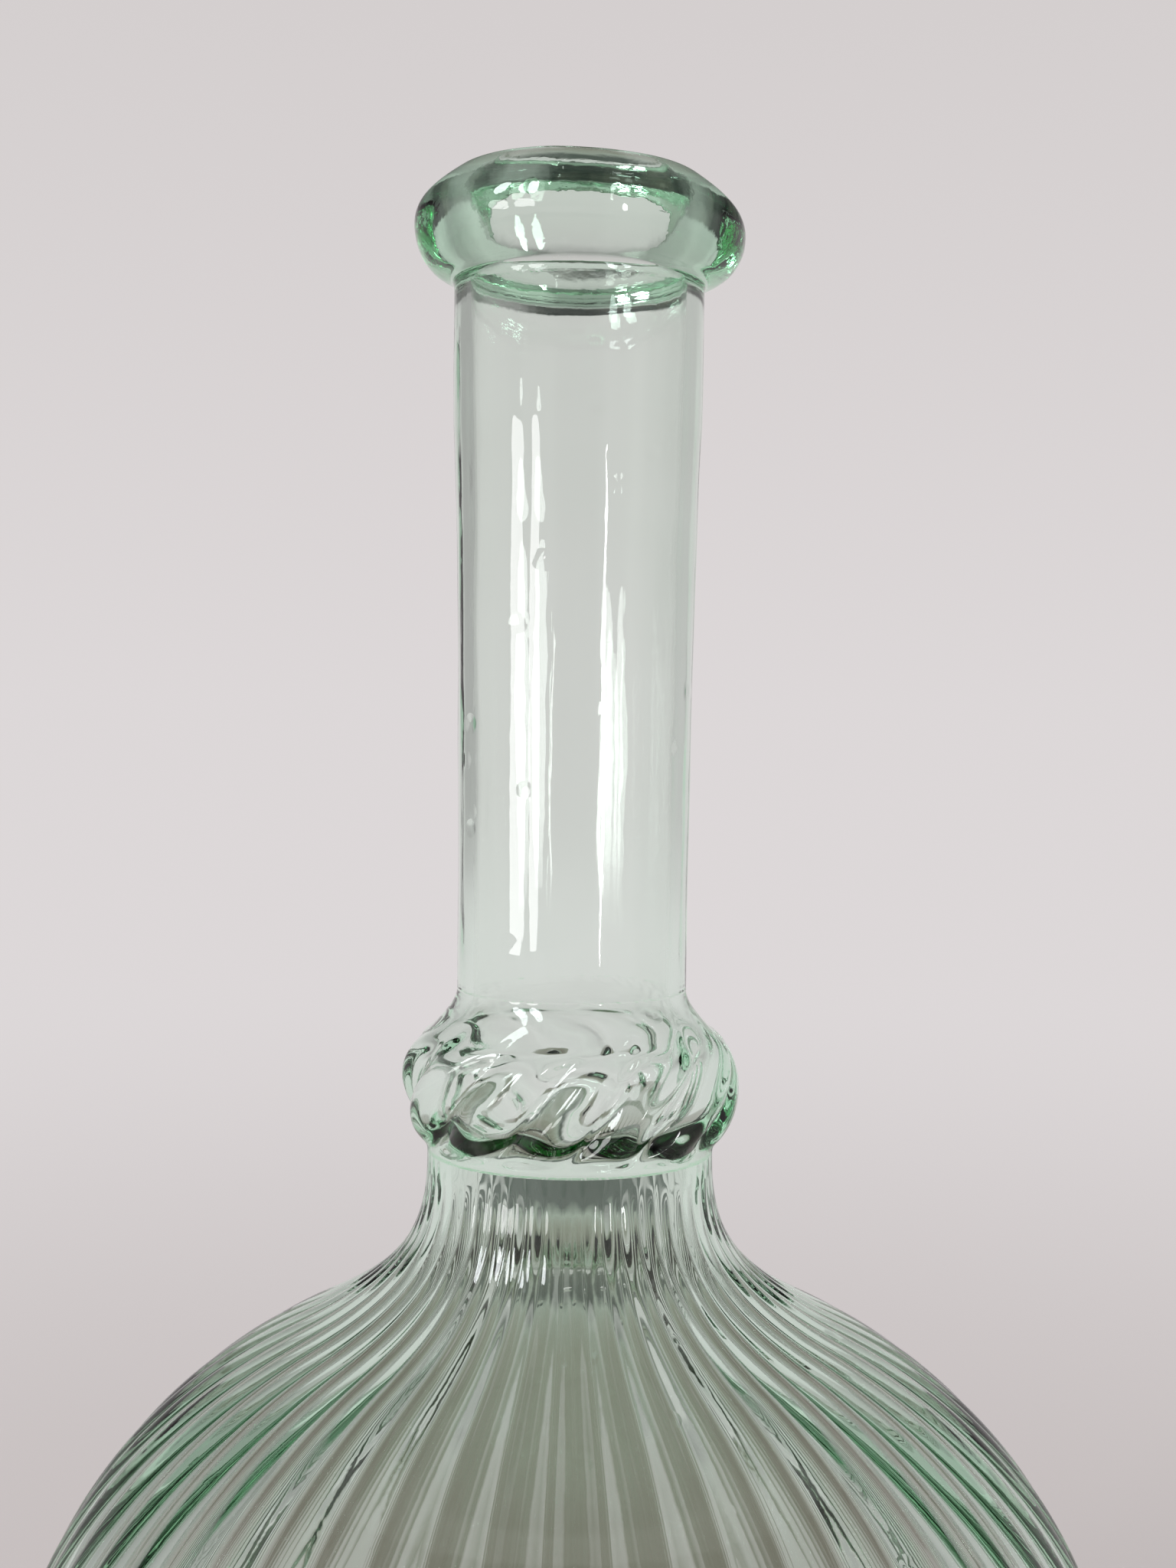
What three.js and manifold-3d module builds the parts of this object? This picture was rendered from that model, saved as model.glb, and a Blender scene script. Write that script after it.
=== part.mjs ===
// Hand-made glass carafe: a blown body with upright ribs, a twisted collar, a long neck and a rolled lip.
// Millimetres, +Z up. The origin is the middle of the ring that the carafe stands on.
import * as THREE from "three";
import { mergeVertices } from "three/addons/utils/BufferGeometryUtils.js";
import Module from "manifold-3d";

const wasm = await Module();
wasm.setup();

// Heights of the four pieces, which are welded on top of one another.
const BULB_HEIGHT = 149.5;
const COLLAR_HEIGHT = 23.5;
const NECK_LENGTH = 100.5;
const LIP_HEIGHT = 16.5;

// Outside of the body: a globe on a flat ring, drawn in at the top to a root for the collar.
const GIRTH_RADIUS = 81;
const GIRTH_HEIGHT = 63;
const STAND_RADIUS = 40;
const ROOT_RADIUS = 20.8;
const ROOT_RISE = 16.5; // from the crown that the globe would have to the top of the root
const SHOULDER_ANGLE = 60; // degrees up the globe, where the root starts to sweep up
const ROOT_FULLNESS = 0.8; // how far the sweep follows the two straight lines that it joins

// Hollow pushed up into the base, inside the flat ring.
const STAND_WIDTH = 5;
const PUNT_HEIGHT = 15;
const PUNT_FULLNESS = 0.6;

// Glass of the body.
const BULB_WALL = 3;
const ROOT_WALL = 3.6;
const BASE_WALL = 6;

// Ribs of the body, pressed in the mould before the globe was blown out.
const RIBS = 50;
const RIB_DEPTH = 1.2; // at the girth
const RIB_FADE = 5; // height over which they run out under the collar and over the stand
const RIB_SHAPE = [1, 0.3, 0, 0.3]; // share of the depth missing: in the groove, flank, crest, flank

// Collar: a smooth shoulder over a knop of twisted lobes.
const KNOP_FOOT = 1.5; // plain band between the weld and the lobes
const KNOP_HEIGHT = 17.5;
const KNOP_SHOULDER = 2.1; // how far the head of the knop stands out from the neck
const KNOP_SWELL = 2.6; // of the grooves, beyond the straight line from foot to head
const KNOP_ROUNDNESS = 0.65;
const LOBES = 12;
const LOBE_DEPTH = 2.2;
const LOBE_ROUNDNESS = 0.75;
const LOBE_TWIST = 38; // degrees, from the foot of the knop to its head
const LOBE_COLUMNS = 6; // points across one lobe

// Hollow of the collar: an almost flat floor round the root, and a thin wall that follows the knop.
const KNOP_WALL = 2.4; // of the glass in a groove, where the hollow is widest
const HOLLOW_HEIGHT = 8.5; // of the widest place
const FLOOR_FLATNESS = 0.62; // how far the floor follows a flat step out of the root
const SHOULDER_FLATNESS = 0.5;

// Neck: a tube with faint upright flats, a little fuller towards the top.
const NECK_FOOT_RADIUS = 16.7;
const NECK_TOP_RADIUS = 18;
const NECK_SWELL_POWER = 1.3;
const NECK_WALL = 2.4;
const NECK_FLATS = 24;

// Lip: a thick ring that flares to a round outer edge and slopes up from there to the mouth.
const LIP_OVERHANG = 5.85; // how far its edge stands out from the neck
const LIP_EDGE_HEIGHT = 8.6; // of the widest place above the weld
const LIP_FULLNESS = 0.65; // of the slope from the edge to the mouth, from 0, flat, to 1, square
const LIP_CREST = 2; // how far outside the bore its highest place lies
const LIP_CREASE = 0.9; // height of the small hollow where the lip meets the neck
const MOUTH_DEPTH = 7;

// How finely the curves are cut.
const ROUND_SIDES = 40;
const BELLY_STEPS = 5;
const SHOULDER_STEPS = 5;
const SWEEP_STEPS = 8;
const DOME_STEPS = 5;
const KNOP_STEPS = 12;
const HOLLOW_STEPS = 5; // on each of its two curves
const NECK_STEPS = 8;
const LIP_STEPS = 4; // on each curve of its section
const OVERRUN = 2; // how far a cutting solid runs past the face that it opens

const collarBase = BULB_HEIGHT;
const neckBase = collarBase + COLLAR_HEIGHT;
const lipBase = neckBase + NECK_LENGTH;
const rootBore = ROOT_RADIUS - ROOT_WALL;
const neckFootBore = NECK_FOOT_RADIUS - NECK_WALL;
const neckTopBore = NECK_TOP_RADIUS - NECK_WALL;
const knopHeadRadius = NECK_FOOT_RADIUS + KNOP_SHOULDER;
const lipRadius = NECK_TOP_RADIUS + LIP_OVERHANG;
const lipCrestRadius = neckTopBore + LIP_CREST;

// A point on a circle about the axis.
function onCircle(radius, angle, height) {
  return [radius * Math.cos(angle), radius * Math.sin(angle), height];
}

// The solid inside a stack of rings of points, given from the bottom up, with a flat face at each end.
function ringedSolid(rings) {
  const columns = rings[0].length;
  const index = [];
  for (let row = 0; row < rings.length - 1; row += 1) {
    for (let column = 0; column < columns; column += 1) {
      const here = row * columns + column;
      const next = row * columns + ((column + 1) % columns);
      index.push(here, next, next + columns, here, next + columns, here + columns);
    }
  }
  const top = (rings.length - 1) * columns;
  const bottomMiddle = rings.length * columns;
  const topMiddle = bottomMiddle + 1;
  for (let column = 0; column < columns; column += 1) {
    const next = (column + 1) % columns;
    index.push(bottomMiddle, next, column, topMiddle, top + column, top + next);
  }
  const middles = [
    [0, 0, rings[0][0][2]],
    [0, 0, rings[rings.length - 1][0][2]],
  ];
  const geometry = new THREE.BufferGeometry();
  const points = [...rings.flat(), ...middles].flat();
  geometry.setAttribute("position", new THREE.Float32BufferAttribute(points, 3));
  geometry.setIndex(index);
  return toSolid(geometry);
}

// A solid of revolution about +Z. The outline is a list of (radius, height) points, from the bottom up.
function turnedGeometry(outline) {
  return new THREE.LatheGeometry(outline, ROUND_SIDES).rotateX(Math.PI / 2);
}

function toSolid(geometry) {
  geometry.deleteAttribute("normal");
  geometry.deleteAttribute("uv");
  const merged = mergeVertices(geometry, 1e-4);
  return new wasm.Manifold(
    new wasm.Mesh({
      numProp: 3,
      vertProperties: merged.attributes.position.array,
      triVerts: new Uint32Array(merged.index.array),
    }),
  );
}

function toGeometry(solid) {
  const { vertProperties, triVerts } = solid.getMesh();
  const geometry = new THREE.BufferGeometry();
  geometry.setAttribute("position", new THREE.BufferAttribute(vertProperties, 3));
  geometry.setIndex(new THREE.BufferAttribute(triVerts, 1));
  geometry.computeVertexNormals();
  return geometry;
}

// Outside of the body, from the edge of the stand to the weld under the collar.
function bulbOutline() {
  const crown = BULB_HEIGHT - GIRTH_HEIGHT - ROOT_RISE;
  const angle = THREE.MathUtils.degToRad(SHOULDER_ANGLE);
  const belly = new THREE.EllipseCurve(
    STAND_RADIUS,
    GIRTH_HEIGHT,
    GIRTH_RADIUS - STAND_RADIUS,
    GIRTH_HEIGHT,
    -Math.PI / 2,
    0,
  );
  const shoulder = new THREE.EllipseCurve(0, GIRTH_HEIGHT, GIRTH_RADIUS, crown, 0, angle);
  const sweepStart = shoulder.getPoint(1);
  const sweepEnd = new THREE.Vector2(ROOT_RADIUS, BULB_HEIGHT);
  const risePerRadius = (crown * Math.cos(angle)) / (GIRTH_RADIUS * Math.sin(angle));
  const corner = new THREE.Vector2(
    ROOT_RADIUS,
    sweepStart.y + (sweepStart.x - ROOT_RADIUS) * risePerRadius,
  );
  const sweep = new THREE.CubicBezierCurve(
    sweepStart,
    sweepStart.clone().lerp(corner, ROOT_FULLNESS),
    sweepEnd.clone().lerp(corner, ROOT_FULLNESS),
    sweepEnd,
  );
  return [
    ...belly.getPoints(BELLY_STEPS),
    ...shoulder.getPoints(SHOULDER_STEPS).slice(1),
    ...sweep.getPoints(SWEEP_STEPS).slice(1),
  ];
}

// The outline moved into the glass by the wall, which thickens from the girth to the root.
function insideOf(outline) {
  return outline.map((point, i) => {
    const before = outline[Math.max(i - 1, 0)];
    const after = outline[Math.min(i + 1, outline.length - 1)];
    const along = after.clone().sub(before).normalize();
    if (i === 0) along.set(1, 0);
    if (i === outline.length - 1) along.set(0, 1);
    const towardsRoot = THREE.MathUtils.smoothstep(point.y, GIRTH_HEIGHT, BULB_HEIGHT);
    const wall = THREE.MathUtils.lerp(BULB_WALL, ROOT_WALL, towardsRoot);
    return new THREE.Vector2(point.x - along.y * wall, point.y + along.x * wall);
  });
}

// A low dome about the axis, from its top down to its rim.
function dome(rimRadius, rimHeight, topHeight) {
  return new THREE.QuadraticBezierCurve(
    new THREE.Vector2(0, topHeight),
    new THREE.Vector2(rimRadius * PUNT_FULLNESS, topHeight),
    new THREE.Vector2(rimRadius, rimHeight),
  ).getPoints(DOME_STEPS);
}

// How much shallower than the crest the glass is at one of the points across a rib.
function ribCut(point, column) {
  const runsOut =
    THREE.MathUtils.smoothstep(point.y, 0, RIB_FADE) *
    THREE.MathUtils.smoothstep(BULB_HEIGHT - point.y, 0, RIB_FADE);
  const depth = RIB_DEPTH * Math.sqrt(point.x / GIRTH_RADIUS) * runsOut;
  return depth * RIB_SHAPE[column % RIB_SHAPE.length];
}

function bulb() {
  const outline = bulbOutline();
  const columns = RIBS * RIB_SHAPE.length;
  const rings = outline.map((point) =>
    Array.from({ length: columns }, (_, column) => {
      const angle = (column / columns) * 2 * Math.PI;
      return onCircle(point.x - ribCut(point, column), angle, point.y);
    }),
  );
  const inside = insideOf(outline);
  const floor = dome(inside[0].x, inside[0].y, PUNT_HEIGHT + BASE_WALL);
  const hollow = turnedGeometry([
    ...floor,
    ...inside.slice(1),
    new THREE.Vector2(rootBore, BULB_HEIGHT + OVERRUN),
    new THREE.Vector2(0, BULB_HEIGHT + OVERRUN),
  ]);
  const punt = turnedGeometry([
    new THREE.Vector2(0, -OVERRUN),
    new THREE.Vector2(STAND_RADIUS - STAND_WIDTH, -OVERRUN),
    ...dome(STAND_RADIUS - STAND_WIDTH, 0, PUNT_HEIGHT).reverse(),
  ]);
  return ringedSolid(rings).subtract(toSolid(hollow)).subtract(toSolid(punt));
}

// Outer radius of the collar at a height above its foot, and across a lobe from one groove (0) to the next (1).
function collarRadius(height, acrossLobe) {
  const up = THREE.MathUtils.clamp((height - KNOP_FOOT) / KNOP_HEIGHT, 0, 1);
  const overKnop = Math.max(height - KNOP_FOOT - KNOP_HEIGHT, 0);
  const upShoulder = overKnop / (COLLAR_HEIGHT - KNOP_FOOT - KNOP_HEIGHT);
  const knopCore = THREE.MathUtils.lerp(ROOT_RADIUS, knopHeadRadius, up);
  const core = THREE.MathUtils.lerp(knopCore, NECK_FOOT_RADIUS, upShoulder);
  const swell = Math.sin(Math.PI * up) ** KNOP_ROUNDNESS;
  const lobe = Math.sin(Math.PI * acrossLobe) ** LOBE_ROUNDNESS;
  return core + swell * (KNOP_SWELL + LOBE_DEPTH * lobe);
}

// A rounded step of an outline from one upright wall to another: the flatter, the more it is a ledge.
function step(radius, height, nextRadius, nextHeight, flatness) {
  const rise = nextHeight - height;
  return new THREE.CubicBezierCurve(
    new THREE.Vector2(radius, height),
    new THREE.Vector2(radius, height + rise * flatness),
    new THREE.Vector2(nextRadius, nextHeight - rise * flatness),
    new THREE.Vector2(nextRadius, nextHeight),
  ).getPoints(HOLLOW_STEPS);
}

function collar() {
  const columns = LOBES * LOBE_COLUMNS;
  const heights = [0];
  for (let row = 0; row <= KNOP_STEPS; row += 1) {
    heights.push(KNOP_FOOT + (KNOP_HEIGHT * row) / KNOP_STEPS);
  }
  heights.push(COLLAR_HEIGHT);
  const rings = heights.map((height) => {
    const up = THREE.MathUtils.clamp((height - KNOP_FOOT) / KNOP_HEIGHT, 0, 1);
    const turn = THREE.MathUtils.degToRad(LOBE_TWIST) * up;
    return Array.from({ length: columns }, (_, column) => {
      const acrossLobe = (column % LOBE_COLUMNS) / LOBE_COLUMNS;
      const angle = turn + (column / columns) * 2 * Math.PI;
      return onCircle(collarRadius(height, acrossLobe), angle, height);
    });
  });
  const widest = collarRadius(HOLLOW_HEIGHT, 0) - KNOP_WALL;
  const floor = step(rootBore, 0, widest, HOLLOW_HEIGHT, FLOOR_FLATNESS);
  const shoulder = step(widest, HOLLOW_HEIGHT, neckFootBore, COLLAR_HEIGHT, SHOULDER_FLATNESS);
  const hollow = turnedGeometry([
    new THREE.Vector2(0, -OVERRUN),
    new THREE.Vector2(rootBore, -OVERRUN),
    ...floor,
    ...shoulder.slice(1),
    new THREE.Vector2(neckFootBore, COLLAR_HEIGHT + OVERRUN),
    new THREE.Vector2(0, COLLAR_HEIGHT + OVERRUN),
  ]);
  return ringedSolid(rings).subtract(toSolid(hollow));
}

function neck() {
  const columns = NECK_FLATS * 2;
  const rings = [];
  for (let row = 0; row <= NECK_STEPS; row += 1) {
    const share = row / NECK_STEPS;
    const up = share ** NECK_SWELL_POWER;
    const ridge = THREE.MathUtils.lerp(NECK_FOOT_RADIUS, NECK_TOP_RADIUS, up);
    const flat = ridge * Math.cos(Math.PI / NECK_FLATS);
    rings.push(
      Array.from({ length: columns }, (_, column) => {
        const angle = (column / columns) * 2 * Math.PI;
        return onCircle(column % 2 ? flat : ridge, angle, NECK_LENGTH * share);
      }),
    );
  }
  const bore = turnedGeometry([
    new THREE.Vector2(0, -OVERRUN),
    new THREE.Vector2(neckFootBore, -OVERRUN),
    new THREE.Vector2(neckFootBore, 0),
    new THREE.Vector2(neckTopBore, NECK_LENGTH),
    new THREE.Vector2(neckTopBore, NECK_LENGTH + OVERRUN),
    new THREE.Vector2(0, NECK_LENGTH + OVERRUN),
  ]);
  return ringedSolid(rings).subtract(toSolid(bore));
}

function lip() {
  const section = new THREE.Path();
  section.moveTo(neckTopBore, 0);
  section.lineTo(NECK_TOP_RADIUS, 0);
  section.quadraticCurveTo(NECK_TOP_RADIUS, LIP_CREASE, NECK_TOP_RADIUS + LIP_CREASE, LIP_CREASE);
  section.bezierCurveTo(
    lipRadius - LIP_OVERHANG / 2,
    LIP_EDGE_HEIGHT * 0.3,
    lipRadius,
    LIP_EDGE_HEIGHT * 0.67,
    lipRadius,
    LIP_EDGE_HEIGHT,
  );
  const slopeRise = LIP_HEIGHT - LIP_EDGE_HEIGHT;
  section.bezierCurveTo(
    lipRadius,
    LIP_EDGE_HEIGHT + slopeRise * 0.55 * LIP_FULLNESS,
    lipCrestRadius + (lipRadius - lipCrestRadius) * LIP_FULLNESS,
    LIP_EDGE_HEIGHT + slopeRise * LIP_FULLNESS,
    lipCrestRadius,
    LIP_HEIGHT,
  );
  section.absellipse(
    lipCrestRadius,
    LIP_HEIGHT - MOUTH_DEPTH,
    lipCrestRadius - neckTopBore,
    MOUTH_DEPTH,
    Math.PI / 2,
    Math.PI,
  );
  section.closePath();
  return toSolid(turnedGeometry(section.getPoints(LIP_STEPS)));
}

const glassColours = {
  bulb: 0xa9c4b4,
  twisted_collar: 0xb4cfc0,
  neck_tube: 0xc6d6cd,
  lip_ring: 0x9dbdad,
};

const carafe = new THREE.Group();
for (const [name, solid, height] of [
  ["bulb", bulb(), 0],
  ["twisted_collar", collar(), collarBase],
  ["neck_tube", neck(), neckBase],
  ["lip_ring", lip(), lipBase],
]) {
  const material = new THREE.MeshStandardMaterial({
    color: glassColours[name],
    roughness: 0.06,
    metalness: 0,
    transparent: true,
    opacity: 0.5,
  });
  const piece = new THREE.Mesh(toGeometry(solid), material);
  piece.name = name;
  piece.position.z = height;
  carafe.add(piece);
}

export default carafe;
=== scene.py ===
# A hand-made glass carafe: a ribbed blown body, a twisted collar, a long neck and a rolled lip.
# Metres and +Z up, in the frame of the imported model, whose origin is the middle of the stand.
import math

import bmesh
import bpy
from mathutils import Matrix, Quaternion, Vector, geometry


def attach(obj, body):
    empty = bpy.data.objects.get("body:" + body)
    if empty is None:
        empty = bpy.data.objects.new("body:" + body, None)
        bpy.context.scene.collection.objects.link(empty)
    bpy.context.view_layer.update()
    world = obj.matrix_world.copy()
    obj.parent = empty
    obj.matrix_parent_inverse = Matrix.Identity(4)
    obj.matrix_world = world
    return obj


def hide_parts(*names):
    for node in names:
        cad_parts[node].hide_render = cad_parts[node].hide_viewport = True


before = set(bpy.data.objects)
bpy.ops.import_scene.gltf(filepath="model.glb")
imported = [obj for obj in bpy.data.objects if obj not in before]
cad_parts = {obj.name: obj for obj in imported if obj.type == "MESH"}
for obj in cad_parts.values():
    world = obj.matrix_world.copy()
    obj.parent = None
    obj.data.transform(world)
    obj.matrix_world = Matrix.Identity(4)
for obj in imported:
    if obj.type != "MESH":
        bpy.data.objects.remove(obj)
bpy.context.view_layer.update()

# Body: a gather of glass pressed in a ribbed mould and then blown out to a globe, so that its
# ribs run from the stand up to the root under the collar. The base is pushed up into a punt, and
# the body stands on the ring round it. The maker draws the top in to the root, where it is thicker.
MM = 0.001  # radii and heights are written in millimetres

BODY_TOP = 149.5
RIBS = 50
RIB_DEPTH = 1.15
ROOT_RIBS = 0.13  # share of a rib's depth that is left on the root, where the glass was drawn in
DRAWN_FROM, DRAWN_TO = 121, 137  # heights between which the ribs grow shallow
OVER_PUNT = 22  # the inner wall has no ribs below this height
RIB_FADE = 5  # height over which the ribs run out at the root and at the stand
RIB_INSIDE = 0.3  # share of a rib's depth that shows on the inner wall
BODY_COLUMNS = RIBS * 10
FREE_FROM_WELD = 7  # height over which the unevenness of a piece starts, away from a weld

BODY_OUTSIDE = [
    (40, 0), (62.6, 0), (81, 28.2), (81, 63),
    (81, 88), (65.6, 111.1), (40.5, 123.6),
    (24.7, 131.5), (20.8, 136.7), (20.8, BODY_TOP),
]
BODY_INSIDE = [
    (17.2, BODY_TOP), (17.2, 137.5), (21.5, 129), (37.5, 121.2),
    (62.5, 109), (78, 87), (78, 63),
    (78, 30), (62, 4.5), (41, 4),
    (30, 4), (23, 21), (0, 21),
]
PUNT = [(0, 15), (21, 15), (33, 5), (35, 0), (35, 0), (40, 0), (40, 0)]


def along(outline, *steps):
    """Points along a chain of Bezier curves, written as knot, handle, handle, knot and so on."""
    points = []
    for i, count in enumerate(steps):
        curve = [Vector((radius, 0, height)) * MM for radius, height in outline[3 * i : 3 * i + 4]]
        points += geometry.interpolate_bezier(*curve, count + 1)[:-1]
    return points + [Vector((outline[-1][0], 0, outline[-1][1])) * MM]


def turned(name, outside, inside, columns, welds, bite):
    """A closed shell of revolution. The outside runs up and the inside runs back down, and an end on
    the axis closes in a pole. Bite says how deep the mould pressed a point, and free how far the
    hand-made unevenness may move it. The rings where two pieces are welded carry the weld mark."""
    mesh = bmesh.new()
    bite_of = mesh.verts.layers.float.new("bite")
    free_of = mesh.verts.layers.float.new("free")
    weld_of = mesh.faces.layers.float.new("weld")
    rows = []
    for points, is_inside in ((outside, False), (inside, True)):
        for point in points:
            count = 1 if point.x < 1e-6 else columns
            row = []
            for column in range(count):
                turn = 2 * math.pi * column / columns
                vert = mesh.verts.new((point.x * math.cos(turn), point.x * math.sin(turn), point.z))
                vert[bite_of] = bite(point.z / MM, is_inside)
                clear = min(abs(point.z / MM - height) for height in welds)
                vert[free_of] = min(clear / FREE_FROM_WELD, 1)
                row.append(vert)
            rows.append(row)
    pairs = list(zip(rows, rows[1:]))
    if len(rows[0]) > 1:
        pairs.append((rows[-1], rows[0]))
    for below, above in pairs:
        flat = abs(below[0].co.z - above[0].co.z) < 1e-7
        at_weld = flat and any(abs(below[0].co.z / MM - height) < 1e-3 for height in welds)
        for column in range(columns):
            after = (column + 1) % columns
            ring = (
                below[column % len(below)],
                below[after % len(below)],
                above[after % len(above)],
                above[column % len(above)],
            )
            face = mesh.faces.new(tuple(dict.fromkeys(ring)))
            face[weld_of] = float(at_weld and below[0].co.z > 0)
            face.smooth = not flat
            for edge in face.edges:
                edge.smooth = edge.smooth and not flat
    made = bpy.data.meshes.new(name)
    mesh.to_mesh(made)
    mesh.free()
    piece = bpy.data.objects.new(name, made)
    bpy.context.scene.collection.objects.link(piece)
    return piece


def ramp(value, start, end):
    """Smooth step from 0 at start to 1 at end."""
    share = min(max((value - start) / (end - start), 0), 1)
    return share * share * (3 - 2 * share)


def body_bite(height, is_inside):
    """How deep the ribs reach at a height, from 0 to 1."""
    fades = ramp(height, 0.2, RIB_FADE) * ramp(BODY_TOP - height, 0.5, RIB_FADE)
    drawn = 1 - (1 - ROOT_RIBS) * ramp(height, DRAWN_FROM, DRAWN_TO)
    if not is_inside:
        return fades * drawn
    return 0 if height < OVER_PUNT else fades * drawn * RIB_INSIDE


class Value:
    """An output of a node. Sums, products and the like on it add Math nodes to its tree."""

    def __init__(self, tree, socket):
        self.tree, self.socket = tree, socket

    def math(self, operation, *others):
        return node(self.tree, "ShaderNodeMath", {"operation": operation}, self, *others)

    def __add__(self, other):
        return self.math("ADD", other)

    def __sub__(self, other):
        return self.math("SUBTRACT", other)

    def __rsub__(self, other):
        return self.math("MULTIPLY_ADD", -1, other)

    def __mul__(self, other):
        return self.math("MULTIPLY", other)

    def __truediv__(self, other):
        return self.math("DIVIDE", other)

    __radd__, __rmul__ = __add__, __mul__


def node(tree, kind, settings, *values, out=0, **named):
    """Adds a node with its settings first, then the values or links of its inputs."""
    made = tree.nodes.new(kind)
    for key, value in settings.items():
        if key == "stops":
            ramp_of = made.color_ramp
            while len(ramp_of.elements) < len(value):
                ramp_of.elements.new(0.5)
            for element, (position, colour) in zip(ramp_of.elements, value):
                element.position = position
                element.color = (*colour, 1) if isinstance(colour, tuple) else (colour,) * 3 + (1,)
        else:
            setattr(made, key, value)
    inputs = dict(enumerate(values))
    inputs.update({key.replace("_", " "): value for key, value in named.items()})
    for key, value in inputs.items():
        socket = made.inputs[key]
        if isinstance(value, Value):
            tree.links.new(value.socket, socket)
        elif value is not None:
            socket.default_value = value
    return Value(tree, made.outputs[out])


def handwork():
    """Geometry Nodes tree: presses ribs or twisted lobes into a turned piece and makes it uneven."""
    tree = bpy.data.node_groups.new("Mould and handwork", "GeometryNodeTree")
    tree.is_modifier = True
    group = tree.interface
    group.new_socket("Geometry", in_out="INPUT", socket_type="NodeSocketGeometry")
    for name in (
        "Ribs", "Depth", "Softness", "Twist", "Foot", "Phase", "Unequal",  # what the mould presses in
        "Unevenness", "Ripple", "Seed", "Lean",  # what the hand leaves
    ):
        group.new_socket(name, in_out="INPUT", socket_type="NodeSocketFloat")
    group.new_socket("Glass", in_out="INPUT", socket_type="NodeSocketMaterial")
    group.new_socket("Geometry", in_out="OUTPUT", socket_type="NodeSocketGeometry")
    given = tree.nodes.new("NodeGroupInput")
    size = {socket.name: Value(tree, socket) for socket in given.outputs if socket.name}

    place = node(tree, "GeometryNodeInputPosition", {})
    parts = node(tree, "ShaderNodeSeparateXYZ", {}, place).socket.node
    x, y, z = (Value(tree, parts.outputs[axis]) for axis in range(3))
    turn = y.math("ARCTAN2", x)
    wander = (turn * 3 + size["Phase"] * 5).math("SINE") * size["Unequal"]
    leaning = turn + wander - (z - size["Foot"]) * size["Twist"] - size["Phase"]
    # Round crests between narrow grooves, 1 on a crest and 0 in a groove. Softness widens the groove.
    wave = (leaning * size["Ribs"] / 2).math("SINE")
    soft = size["Softness"]
    crest = ((wave * wave + soft * soft).math("SQRT") - soft) / ((soft * soft + 1).math("SQRT") - soft)
    bite = node(tree, "GeometryNodeInputNamedAttribute", {"data_type": "FLOAT"}, Name="bite")
    free = node(tree, "GeometryNodeInputNamedAttribute", {"data_type": "FLOAT"}, Name="free")
    inwards = (crest - 1) * bite * size["Depth"]
    level = node(tree, "ShaderNodeCombineXYZ", {}, x, y, 0)
    outward = node(tree, "ShaderNodeVectorMath", {"operation": "NORMALIZE"}, level)
    pressed = node(tree, "ShaderNodeVectorMath", {"operation": "SCALE"}, outward, Scale=inwards)
    noise = node(tree, "ShaderNodeTexNoise", {"noise_dimensions": "4D"}, place,
                 W=size["Seed"], Scale=size["Ripple"], Detail=1.5)
    uneven = (noise - 0.5) * free * size["Unevenness"] * 2
    away = node(tree, "GeometryNodeInputNormal", {})
    pushed = node(tree, "ShaderNodeVectorMath", {"operation": "SCALE"}, away, Scale=uneven)
    moved = node(tree, "ShaderNodeVectorMath", {"operation": "ADD"}, pressed, pushed)
    sunk = node(tree, "ShaderNodeCombineXYZ", {}, 0.0, 0.0, x * free * size["Lean"] * -1)
    leant = node(tree, "ShaderNodeVectorMath", {"operation": "ADD"}, moved, sunk)
    placed = node(tree, "GeometryNodeSetPosition", {}, size["Geometry"], Offset=leant)
    whole = node(tree, "GeometryNodeRealizeInstances", {}, placed)
    painted = node(tree, "GeometryNodeSetMaterial", {}, whole, Material=size["Glass"])
    result = tree.nodes.new("NodeGroupOutput")
    tree.links.new(painted.socket, result.inputs[0])
    return tree


HANDWORK = handwork()


def worked(piece, glass, **sizes):
    """Gives the piece the form in which it leaves the maker's hands, as a plain mesh in its glass."""
    modifier = piece.modifiers.new("Mould and handwork", "NODES")
    modifier.node_group = HANDWORK
    wanted = {**sizes, "Glass": glass}
    for item in HANDWORK.interface.items_tree:
        if item.in_out == "INPUT" and item.name in wanted:
            modifier[item.identifier] = wanted[item.name]
    shaped = bpy.data.meshes.new_from_object(piece.evaluated_get(bpy.context.evaluated_depsgraph_get()))
    piece.modifiers.clear()
    piece.data = shaped
    shaped.name = piece.name


# Light runs round inside thick glass many times before it comes out.
light_paths = bpy.context.scene.cycles
light_paths.max_bounces = light_paths.transmission_bounces = 20
light_paths.glossy_bounces = 10

GLASS_IOR = 1.52
GLASS_TINT = (0.16, 0.84, 0.40, 1)  # the colour that thick glass takes on
GLASS_DENSITY = 24  # per metre
CLEAN = (1, 1, 1, 1)
FILMED = (0.955, 0.965, 0.955, 1)  # under the thin film that washing leaves
POLISH = 0.003  # roughness of untouched glass
SEED_SIZE = 9  # of the bubbles under the surface, the higher the smaller


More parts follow.
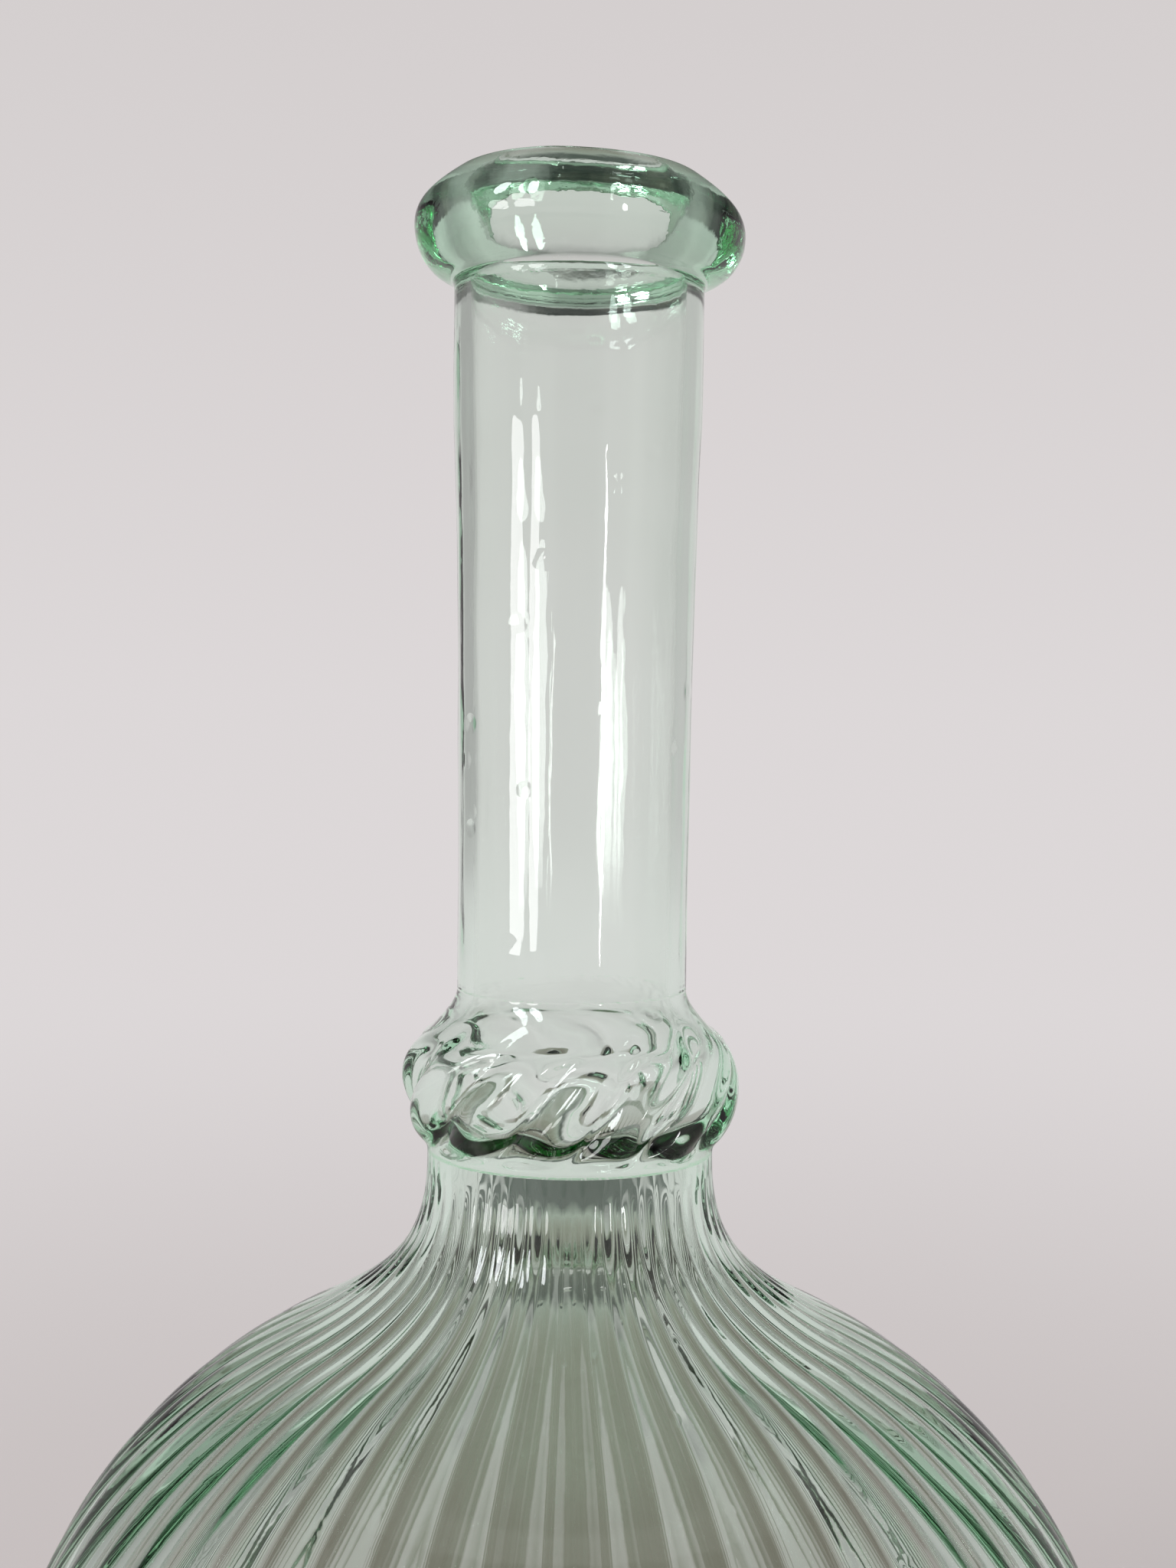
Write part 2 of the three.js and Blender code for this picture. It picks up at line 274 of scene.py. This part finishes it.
def blown_glass(name, streaks, wave_height, wave_size):
    """Pale sea-green glass. Streaks say how close its surface waves lie along x, y and z."""
    glass = bpy.data.materials.new(name)
    glass.use_nodes = True
    tree = glass.node_tree
    tree.nodes.clear()
    place = node(tree, "ShaderNodeTexCoord", {}, out="Object")
    # Waves from the blowing, finer cords across them, and seeds, which are small bubbles.
    stretched = node(tree, "ShaderNodeMapping", {}, place, Scale=streaks)
    waves = node(tree, "ShaderNodeTexNoise", {}, stretched, Scale=1 / wave_size, Detail=2, Roughness=0.45)
    cords = node(tree, "ShaderNodeTexNoise", {"noise_dimensions": "4D"}, stretched,
                 W=3.0, Scale=3.2 / wave_size, Detail=2, Distortion=0.6)
    cells = node(tree, "ShaderNodeTexVoronoi", {"feature": "F1"}, place, Scale=70, out="Distance")
    seed = (1 - cells * SEED_SIZE).math("MAXIMUM", 0)
    height = waves + cords * 0.25 - seed * 1.5
    normal = node(tree, "ShaderNodeBump", {}, Strength=1.0, Distance=wave_height, Height=height)
    # A thin film that is left in patches, a little duller than the clean glass.
    smear = node(tree, "ShaderNodeTexNoise", {"noise_dimensions": "4D"}, place,
                 W=7.0, Scale=38, Detail=4, Roughness=0.6)
    touched = (smear - 0.52).math("MAXIMUM", 0) * 0.16
    other_kinds = [None] * 5  # the Mix node's sockets for numbers and vectors
    film = node(tree, "ShaderNodeMix", {"data_type": "RGBA"}, smear, *other_kinds, CLEAN, FILMED, out=2)
    surface = node(tree, "ShaderNodeBsdfPrincipled", {}, IOR=GLASS_IOR, Transmission_Weight=1.0,
                   Base_Color=film, Roughness=touched + POLISH, Normal=normal)
    # Two welded pieces are one glass, so light goes straight through the faces at a weld.
    clear = node(tree, "ShaderNodeBsdfTransparent", {})
    weld = node(tree, "ShaderNodeAttribute", {"attribute_type": "GEOMETRY", "attribute_name": "weld"},
                out="Fac")
    shown = node(tree, "ShaderNodeMixShader", {}, weld, surface, clear)
    tint = node(tree, "ShaderNodeVolumeAbsorption", {}, Color=GLASS_TINT, Density=GLASS_DENSITY)
    output = tree.nodes.new("ShaderNodeOutputMaterial")
    tree.links.new(shown.socket, output.inputs["Surface"])
    tree.links.new(tint.socket, output.inputs["Volume"])
    return glass


body_glass = blown_glass("Body glass", streaks=(1, 1, 0.35), wave_height=0.04 * MM, wave_size=11 * MM)
body = turned(
    "blown_body",
    along(PUNT, 10, 2)[:-1] + along(BODY_OUTSIDE, 18, 44, 36),
    along(BODY_INSIDE, 22, 40, 12, 8),
    BODY_COLUMNS,
    (0, BODY_TOP),
    body_bite,
)
worked(body, body_glass, Ribs=RIBS, Depth=RIB_DEPTH * MM, Softness=0.09, Twist=0, Foot=0, Phase=0.03,
       Unequal=0.006, Unevenness=0.16 * MM, Ripple=27, Seed=1)
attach(body, "root")
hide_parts("bulb")

# Collar: a hollow knop with thick glass. The maker swells it between body and neck, presses
# twelve lobes into it and turns the neck a little, so that the lobes lean, and pinches it in
# at the top to a waist. Both ends are welded while the glass is hot.
LOBES = 12
LOBE_DEPTH = 2.5
LOBE_INSIDE = 0.6  # share of a lobe's depth that shows on the inner wall
LOBE_LEAN = 38  # degrees that a lobe turns from its foot to its head
KNOP_FOOT = 151
KNOP_HEAD = 168.5
LOBES_START, LOBES_FULL = KNOP_FOOT - 0.6, KNOP_FOOT + 3.5  # heights over which the lobes rise
LOBES_FADE = (-0.5, 6)  # distances from the knop's head over which they run out
COLLAR_TOP = 173
COLLAR_COLUMNS = LOBES * 30

COLLAR_OUTSIDE = [
    (20.8, BODY_TOP), (20.8, 150.3), (21.1, 150.9), (21.8, 151.6),
    (23.0, 152.8), (24.6, 155.4), (24.7, 159.6),
    (24.7, 162.9), (23.4, 165.6), (21.2, 167.0),
    (19.2, 168.3), (16.7, 171.2), (16.7, COLLAR_TOP),
]
COLLAR_INSIDE = [
    (14.3, COLLAR_TOP), (14.3, 170.0), (17.6, 166.3), (19.8, 164.8),
    (21.2, 163.7), (21.7, 162.0), (21.7, 159.5),
    (21.7, 152.9), (17.2, 155.4), (17.2, BODY_TOP),
]


def collar_bite(height, is_inside):
    """How deep the lobes reach at a height, from 0 to 1."""
    fades = ramp(height, LOBES_START, LOBES_FULL) * ramp(KNOP_HEAD - height, *LOBES_FADE)
    return fades * (LOBE_INSIDE if is_inside else 1)


collar_glass = blown_glass("Collar glass", streaks=(1, 1, 0.7), wave_height=0.02 * MM, wave_size=10 * MM)
collar = turned(
    "twisted_knop",
    along(COLLAR_OUTSIDE, 5, 12, 14, 12),
    along(COLLAR_INSIDE, 12, 8, 20),
    COLLAR_COLUMNS,
    (BODY_TOP, COLLAR_TOP),
    collar_bite,
)
worked(collar, collar_glass, Ribs=LOBES, Depth=LOBE_DEPTH * MM, Softness=0.24,
       Twist=math.radians(LOBE_LEAN) / ((KNOP_HEAD - KNOP_FOOT) * MM), Foot=KNOP_FOOT * MM,
       Phase=math.radians(-93), Unequal=0.05, Unevenness=0.06 * MM, Ripple=55, Seed=2)
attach(collar, "root")
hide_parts("twisted_collar")

# Neck: a tube of glass drawn out by hand, so its wall is a little wavy and keeps faint upright
# flats from the mould. It widens slightly towards the lip, and is welded at both ends.
NECK_TOP = 273.5
NECK_FLATS = 24
FLAT_DEPTH = 0.03
FLAT_INSIDE = 0.2  # share of a flat's depth that shows on the inner wall
FLAT_FADE_LOW, FLAT_FADE_HIGH = 8, 14  # heights over which the flats run out at either end
NECK_COLUMNS = NECK_FLATS * 12

NECK_OUTSIDE = [
    (16.7, COLLAR_TOP), (16.7, 205), (17.2, 240), (17.9, 254),
    (18.05, 260), (18.0, 268), (18.0, NECK_TOP),
]
NECK_INSIDE = [
    (15.6, NECK_TOP), (15.6, 262), (15.4, 250), (15.0, 240),
    (14.8, 215), (14.3, 190), (14.3, COLLAR_TOP),
]


def neck_bite(height, is_inside):
    """How deep the flats reach at a height, from 0 to 1."""
    fades = ramp(height, COLLAR_TOP, COLLAR_TOP + FLAT_FADE_LOW) * ramp(NECK_TOP - height, 0, FLAT_FADE_HIGH)
    return fades * (FLAT_INSIDE if is_inside else 1)


neck_glass = blown_glass("Neck glass", streaks=(1, 1, 0.22), wave_height=0.07 * MM, wave_size=7 * MM)
neck = turned(
    "drawn_neck",
    along(NECK_OUTSIDE, 60, 20),
    along(NECK_INSIDE, 24, 60),
    NECK_COLUMNS,
    (COLLAR_TOP, NECK_TOP),
    neck_bite,
)
worked(neck, neck_glass, Ribs=NECK_FLATS, Depth=FLAT_DEPTH * MM, Softness=0.5, Twist=0, Foot=0, Phase=0.1,
       Unequal=0.04, Unevenness=0.2 * MM, Ripple=45, Seed=3)
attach(neck, "root")
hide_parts("neck_tube")

# Lip: a thick thread of glass laid round the mouth, folded into the neck and rounded in the fire.
# Its underside meets the neck in a small crease.
LIP_TOP = 290
LIP_COLUMNS = 288

LIP_OUTSIDE = [
    (18.0, NECK_TOP), (18.0, 275.1), (18.7, 275.1), (19.8, 275.5),
    (22.0, 276.3), (23.85, 279.0), (23.85, 282.1),
    (23.85, 285.0), (21.9, 286.9), (18.1, 289.6),
    (17.7, 289.9), (17.5, LIP_TOP), (17.2, LIP_TOP),
]
LIP_INSIDE = [
    (17.2, LIP_TOP), (16.4, LIP_TOP), (15.9, 288.2), (15.7, 286.0),
    (15.6, 284.0), (15.6, 279.0), (15.6, NECK_TOP),
]

lip_glass = blown_glass("Lip glass", streaks=(1, 1, 1.6), wave_height=0.12 * MM, wave_size=8 * MM)
lip = turned(
    "rolled_lip",
    along(LIP_OUTSIDE, 9, 18, 24, 4)[:-1],
    along(LIP_INSIDE, 12, 10),
    LIP_COLUMNS,
    (NECK_TOP,),
    lambda height, is_inside: 0,
)
worked(lip, lip_glass, Ribs=1, Depth=0, Softness=1, Twist=0, Foot=0, Phase=0,
       Unequal=0, Unevenness=0.26 * MM, Ripple=48, Seed=4, Lean=0.03)
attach(lip, "root")
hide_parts("lip_ring")

# Studio: a pale floor that runs out to a pale wall colour, two tall windows, and a soft light
# from above. The room that only glass shows is darker in a few directions, and the table close
# behind the carafe is partly painted shade, because clear glass is drawn by the dark things that it
# bends into view. A dark ring round the lip is painted shade too.
WALL = (0.72, 0.685, 0.69)
FLOOR = (0.45, 0.415, 0.408)
FLOOR_RADIUS = 9.0
FLOOR_SIDES = 96
FLOOR_FADE = 0.42  # how far out the floor is half way to the wall colour
UNLIT = (0.3, 1.3)  # over this stretch the floor stops showing light and shadow
TABLE_EDGE = (0.74, 0.66)  # where the table ends that only glass shows
BESIDE_NEAR = (0.6, 0.72)  # where the shade on the floor beyond it starts
BESIDE_FAR = (1.5, 1.2)  # and where it ends
ROOM_EDGE = (1.1, 1.6)  # where the room's own shades take over


def smooth(tree, value, start, end):
    """Smooth step from 0 at start to 1 at end."""
    return node(tree, "ShaderNodeMapRange", {"interpolation_type": "SMOOTHSTEP"}, value, start, end, 0.0, 1.0)


def seen_in_glass(tree):
    """1 for rays that glass bends or reflects, else 0."""
    path = tree.nodes.new("ShaderNodeLightPath")
    glossy, through = (Value(tree, path.outputs[name]) for name in ("Is Glossy Ray", "Is Transmission Ray"))
    return (glossy + through).math("MINIMUM", 1)


def all_round(tree, x, y, shades):
    """A brightness by the direction across the floor, in degrees from +Y round by +X."""
    share = x.math("ARCTAN2", y) / (2 * math.pi) + 0.5
    stops = [(degrees / 360 + 0.5, shade) for degrees, shade in shades]
    return node(tree, "ShaderNodeValToRGB", {"stops": stops}, share)


# For all_round: how bright each side of the room, and of the floor far out, is to the glass.
ROOM = [
    (-180, 0.58), (-132, 0.58), (-118, 0.7), (-108, 0.95), (-74, 0.95), (-62, 0.75), (-48, 0.6),
    (-32, 0.6), (-22, 0.9), (-16, 1), (20, 1), (30, 0.8), (46, 0.8), (58, 0.85), (70, 0.7),
    (108, 0.6), (118, 1), (152, 1), (164, 0.58), (180, 0.58),
]
# How much of the dark table, which is partly painted shade, shows on each side, and how bright the floor
# beyond it is.
TABLE_SIDE = [
    (-180, 1), (-125, 1), (-112, 0.35), (-60, 0.25), (-30, 0.3), (-18, 0.3), (-7, 1), (7, 1), (18, 0.3),
    (30, 0.3), (60, 0.35), (152, 0.35), (164, 1),
]
FLOOR_SIDE = [(-180, 0.95), (-50, 0.95), (-24, 1), (24, 1), (50, 0.8), (180, 0.8)]
# The colour of the table that only glass shows, by the distance from the carafe, in metres: partly a brown
# table close in, and partly painted shade that darkens the body and root seen through the glass, darkest from
# 0.53 m out.
TABLE_AND_PAINTED_SHADE = [
    (0.14, (0.17, 0.14, 0.115)), (0.25, (0.25, 0.24, 0.2)), (0.36, (0.3, 0.3, 0.25)),
    (0.45, (0.375, 0.4, 0.355)), (0.53, (0.095, 0.11, 0.1)), (0.68, (0.095, 0.11, 0.1)),
]
# Painted shade: how solid the dark ring round the lip is on each side, and the dark tones it is mottled with,
# so that the lip's glass shows a dark band.
RIM_SHADE = [
    (-180, 0.8), (-120, 0.35), (-80, 0.4), (-60, 0.8), (-44, 0.9), (-34, 0.55), (-20, 0.6), (-12, 1),
    (50, 1), (70, 0.85), (90, 0.4), (130, 0.4), (180, 0.8),
]
RIM_PAINTED_SHADE_TONES = [
    (0.3, (0.006, 0.009, 0.008)), (0.52, (0.022, 0.027, 0.024)),
    (0.66, (0.09, 0.085, 0.07)), (0.8, (0.3, 0.28, 0.25)),
]
PALE_RING = (0.75, 0.72, 0.725, 1)

floor_mesh = bmesh.new()
bmesh.ops.create_circle(floor_mesh, cap_ends=True, segments=FLOOR_SIDES, radius=FLOOR_RADIUS)
floor_data = bpy.data.meshes.new("floor")
floor_mesh.to_mesh(floor_data)
floor_mesh.free()
floor = bpy.data.objects.new("floor", floor_data)
bpy.context.scene.collection.objects.link(floor)
paint = bpy.data.materials.new("Floor")
paint.use_nodes = True
tree = paint.node_tree
tree.nodes.clear()
place = node(tree, "ShaderNodeTexCoord", {}, out="Object")
far = node(tree, "ShaderNodeVectorMath", {"operation": "LENGTH"}, place, out="Value")
parts = node(tree, "ShaderNodeSeparateXYZ", {}, place).socket.node
x, y = (Value(tree, parts.outputs[axis]) for axis in range(2))
in_glass = seen_in_glass(tree)
room_side = in_glass * smooth(tree, far, *ROOM_EDGE)
table_side = in_glass * smooth(tree, far, *TABLE_EDGE) * all_round(tree, x, y, TABLE_SIDE)
unlit = smooth(tree, far, *UNLIT)
away = 1 - (1 - far * far / (far * far + FLOOR_FADE**2)) * (1 - unlit)
lit = node(tree, "ShaderNodeBsdfDiffuse", {}, Color=(*FLOOR, 1))
beside = in_glass * smooth(tree, far, *BESIDE_NEAR) * smooth(tree, far, *BESIDE_FAR)
room_shade = 1 - room_side * (1 - all_round(tree, x, y, ROOM))
side_shade = 1 - beside * (1 - all_round(tree, x, y, FLOOR_SIDE))
glow = node(tree, "ShaderNodeEmission", {}, Color=(*WALL, 1), Strength=room_shade * side_shade)
pale = node(tree, "ShaderNodeMixShader", {}, away, lit, glow)
# The table only glows in its tones, partly a brown table and partly painted shade, for rays through the
# glass.
table = node(tree, "ShaderNodeEmission", {}, Color=node(tree, "ShaderNodeValToRGB", {"stops": TABLE_AND_PAINTED_SHADE}, far))
shown = node(tree, "ShaderNodeMixShader", {}, table_side, pale, table)
output = tree.nodes.new("ShaderNodeOutputMaterial")
tree.links.new(shown.socket, output.inputs["Surface"])
floor.data.materials.append(paint)

# Upwards, 0 is level and 1 is straight overhead. What the glass mirrors overhead is dimmer.
OVERHEAD = (0.1, 0.26)
WALL_UPWARDS = [(0.0, WALL), (0.2, (0.66, 0.625, 0.625)), (0.5, (0.6, 0.57, 0.57)), (1.0, (0.55, 0.53, 0.53))]
CEILING = [(0.0, 1), (0.5, 1), (0.75, 0.65), (1.0, 0.55)]
OVERHEAD_SHADE = 0.85

world = bpy.data.worlds.new("Room")
bpy.context.scene.world = world
world.use_nodes = True
tree = world.node_tree
tree.nodes.clear()
direction = node(tree, "ShaderNodeTexCoord", {}, out="Generated")
parts = node(tree, "ShaderNodeSeparateXYZ", {}, direction).socket.node
x, y, z = (Value(tree, parts.outputs[axis]) for axis in range(3))
height = z.math("ARCSINE") / (math.pi / 2)
wall = node(tree, "ShaderNodeValToRGB", {"stops": WALL_UPWARDS}, height)
ceiling = node(tree, "ShaderNodeValToRGB", {"stops": CEILING}, height)
shade = all_round(tree, x, y, ROOM) * ceiling
path = tree.nodes.new("ShaderNodeLightPath")
glossy, through = (Value(tree, path.outputs[name]) for name in ("Is Glossy Ray", "Is Transmission Ray"))
overhead = glossy * (1 - through) * smooth(tree, height, *OVERHEAD) * OVERHEAD_SHADE
strength = (1 - seen_in_glass(tree) * (1 - shade)) * (1 - overhead)
sky = node(tree, "ShaderNodeBackground", {}, Color=wall, Strength=strength)
output = tree.nodes.new("ShaderNodeOutputWorld")
tree.links.new(sky.socket, output.inputs["Surface"])


RING_SIDES = 96


def ring_round(name, tone_of, radius, foot, head, foot_fade, head_fade):
    """A ring round the carafe that shows only through its glass, softly fading at its foot and head."""
    ring_mesh = bmesh.new()
    turns = [2 * math.pi * side / RING_SIDES for side in range(RING_SIDES)]
    below, above = (
        [ring_mesh.verts.new((radius * math.cos(turn), radius * math.sin(turn), z)) for turn in turns]
        for z in (foot, head)
    )
    for side in range(RING_SIDES):
        after = (side + 1) % RING_SIDES
        ring_mesh.faces.new((below[side], below[after], above[after], above[side]))
    ring = bpy.data.objects.new(name, bpy.data.meshes.new(name))
    ring_mesh.to_mesh(ring.data)
    ring_mesh.free()
    bpy.context.scene.collection.objects.link(ring)
    tone = bpy.data.materials.new(name.replace("_", " "))
    tone.use_nodes = True
    tree = tone.node_tree
    tree.nodes.clear()
    place = node(tree, "ShaderNodeTexCoord", {}, out="Object")
    parts = node(tree, "ShaderNodeSeparateXYZ", {}, place).socket.node
    x, y, z = (Value(tree, parts.outputs[axis]) for axis in range(3))
    strength, colour = tone_of(tree, place, x, y)
    edge = smooth(tree, z, foot, foot + foot_fade) * smooth(tree, z, head, head - head_fade)
    clear = node(tree, "ShaderNodeBsdfTransparent", {})
    glow = node(tree, "ShaderNodeEmission", {}, Color=colour)
    shown = node(tree, "ShaderNodeMixShader", {}, edge * strength, clear, glow)
    output = tree.nodes.new("ShaderNodeOutputMaterial")
    tree.links.new(shown.socket, output.inputs["Surface"])
    ring.data.materials.append(tone)
    for kind in ("camera", "diffuse", "glossy", "shadow", "volume_scatter"):
        setattr(ring, "visible_" + kind, False)


def painted_rim_shade(tree, place, x, y):
    """Painted shade: dark and mottled, so that the band that runs along the lip shows dark in the glass."""
    mottle = node(tree, "ShaderNodeTexNoise", {}, place, Scale=90, Detail=2)
    colour = node(tree, "ShaderNodeValToRGB", {"stops": RIM_PAINTED_SHADE_TONES}, mottle)
    return all_round(tree, x, y, RIM_SHADE), colour


def pale_tone(tree, place, x, y):
    """Plain and pale, behind the collar."""
    return 1.0, PALE_RING


# The dark ring is painted shade, put round the lip so that its glass shows a dark band; the pale ring is a
# plain pale backdrop behind the collar.
ring_round("painted_shade_ring", painted_rim_shade, radius=0.034, foot=0.2764, head=0.2846, foot_fade=0.0006, head_fade=0.0012)
ring_round("pale_ring", pale_tone, radius=0.062, foot=0.134, head=0.2, foot_fade=0.005, head_fade=0.03)


def window(name, place, aim, width, height, power, colour=(1, 1, 1), shape="ELLIPSE", in_glass=True):
    """A soft light that shows in the glass but not to the camera."""
    lamp = bpy.data.lights.new(name, "AREA")
    lamp.shape = shape
    lamp.size, lamp.size_y, lamp.energy, lamp.color = width, height, power, colour
    holder = bpy.data.objects.new(name, lamp)
    holder.location = place
    holder.rotation_euler = (Vector(aim) - Vector(place)).to_track_quat("-Z", "Y").to_euler()
    holder.visible_camera = False
    holder.visible_transmission = in_glass
    holder.visible_glossy = in_glass
    bpy.context.scene.collection.objects.link(holder)


NECK_MIDDLE = (0, 0, 0.21)
LEFT_WINDOW = Vector((-1.05, -0.95, 0))
ALONG_WINDOW = Vector((-0.67, 0.74, 0))
PANE_APART = 0.23  # from the middle of the window to the middle of a pane
SKYLIGHT = (0.93, 0.97, 1)

for pane in (-1, 1):
    place = LEFT_WINDOW + ALONG_WINDOW * PANE_APART * pane
    low, high = (*place.xy, 0.16), (*place.xy, 1.0)
    window(f"Left window {pane}", low, NECK_MIDDLE, width=0.36, height=0.42, power=2.7)
    window(f"Left window above {pane}", high, NECK_MIDDLE, width=0.26, height=0.8, power=7.5, colour=SKYLIGHT)
window("Right window", (0.62, -1.15, 0.15), NECK_MIDDLE, width=0.08, height=0.32, power=1.1)
window("Top light", (0.2, 0.1, 1.6), (0, 0, 0), width=1.4, height=1.4, power=10,
       shape="RECTANGLE", in_glass=False)

# Camera: beside the upper part of the neck and 0.3 m from it, looking slightly down, as the
# photograph was taken. It is turned a little to the right and rolled by less than a degree.
LENS = 47.46
CAMERA_PLACE = (0, -0.3006, 0.215)
LOOK_DOWN, LOOK_RIGHT, ROLL = (math.radians(angle) for angle in (2.31, 0.39, 0.65))
UPWARDS = Vector((0, 0, 1))

camera_data = bpy.data.cameras.new("camera")
camera_data.lens = LENS
camera = bpy.data.objects.new("camera", camera_data)
camera.location = CAMERA_PLACE
level = Quaternion((1, 0, 0), math.pi / 2 - LOOK_DOWN)
camera.rotation_mode = "QUATERNION"
camera.rotation_quaternion = Quaternion(UPWARDS, -LOOK_RIGHT) @ level @ Quaternion(UPWARDS, ROLL)
bpy.context.scene.collection.objects.link(camera)
bpy.context.scene.camera = camera
bpy.context.scene.view_settings.view_transform = "Standard"
